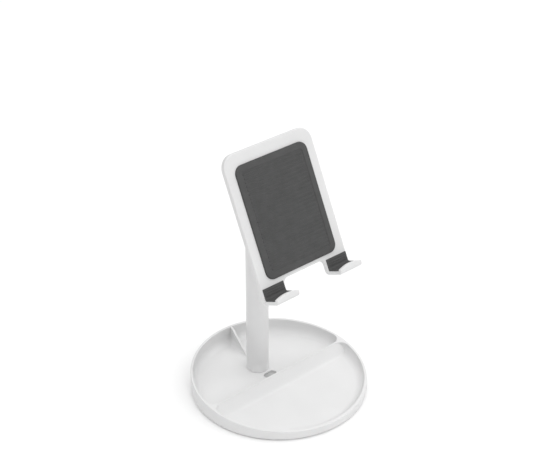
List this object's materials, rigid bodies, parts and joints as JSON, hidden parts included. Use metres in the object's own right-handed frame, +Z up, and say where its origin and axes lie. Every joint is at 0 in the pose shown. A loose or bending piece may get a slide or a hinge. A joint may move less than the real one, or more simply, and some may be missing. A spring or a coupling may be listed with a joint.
{
  "type": "phone stand",
  "caption": "Desktop phone stand: a round desk tray with dividers, an upright column and a two-hook cradle that tilts on a friction hinge.",
  "frame": {"origin": "centre of the foot pad's underside, on the table", "axes": "+X along the hinge axis and the divider, to the right of a user in front; +Y away from the user; +Z up"},
  "size_m": [0.1024, 0.1024, 0.1554],
  "materials": {
    "white_plastic": "fine satin moulding",
    "white_coated_tube": "satin powder coat on aluminium tube",
    "grey_silicone": "matt soft silicone",
    "foot_rubber": "matt non-slip sheet",
    "galvanised_plate": "zinc plated sheet",
    "zinc_steel": "bright zinc plated",
    "brass_insert": "turned",
    "black_steel": "black oxide",
    "natural_nylon": "translucent off-white"
  },
  "bodies": {
    "stand": {"base_tray": "white_plastic", "counterweight_plate": "galvanised_plate", "foot_pad": "foot_rubber", "column_washer": "zinc_steel", "column_screw": "zinc_steel", "column_foot_plug": "brass_insert", "column_tube": "white_coated_tube", "hinge_yoke": "white_plastic", "yoke_set_screw": "black_steel", "hinge_bolt": "zinc_steel", "hinge_spring_washer": "zinc_steel", "hinge_nut": "zinc_steel", "friction_washers": "natural_nylon", "hinge_cap_left": "white_plastic", "hinge_cap_right": "white_plastic"},
    "cradle": {"cradle_plate": "white_plastic", "hinge_lug": "white_plastic", "knuckle_sleeve": "zinc_steel", "cradle_screws": "zinc_steel", "back_pad": "grey_silicone", "hook_liner_left": "grey_silicone", "hook_liner_right": "grey_silicone"}
  },
  "joints": [
    {"name": "cradle_tilt", "type": "hinge", "parent": "stand", "child": "cradle", "pos_m": [0, 0.0189, 0.12], "axis": [-1, 0, 0], "range_deg": [-26, 54]}
  ]
}
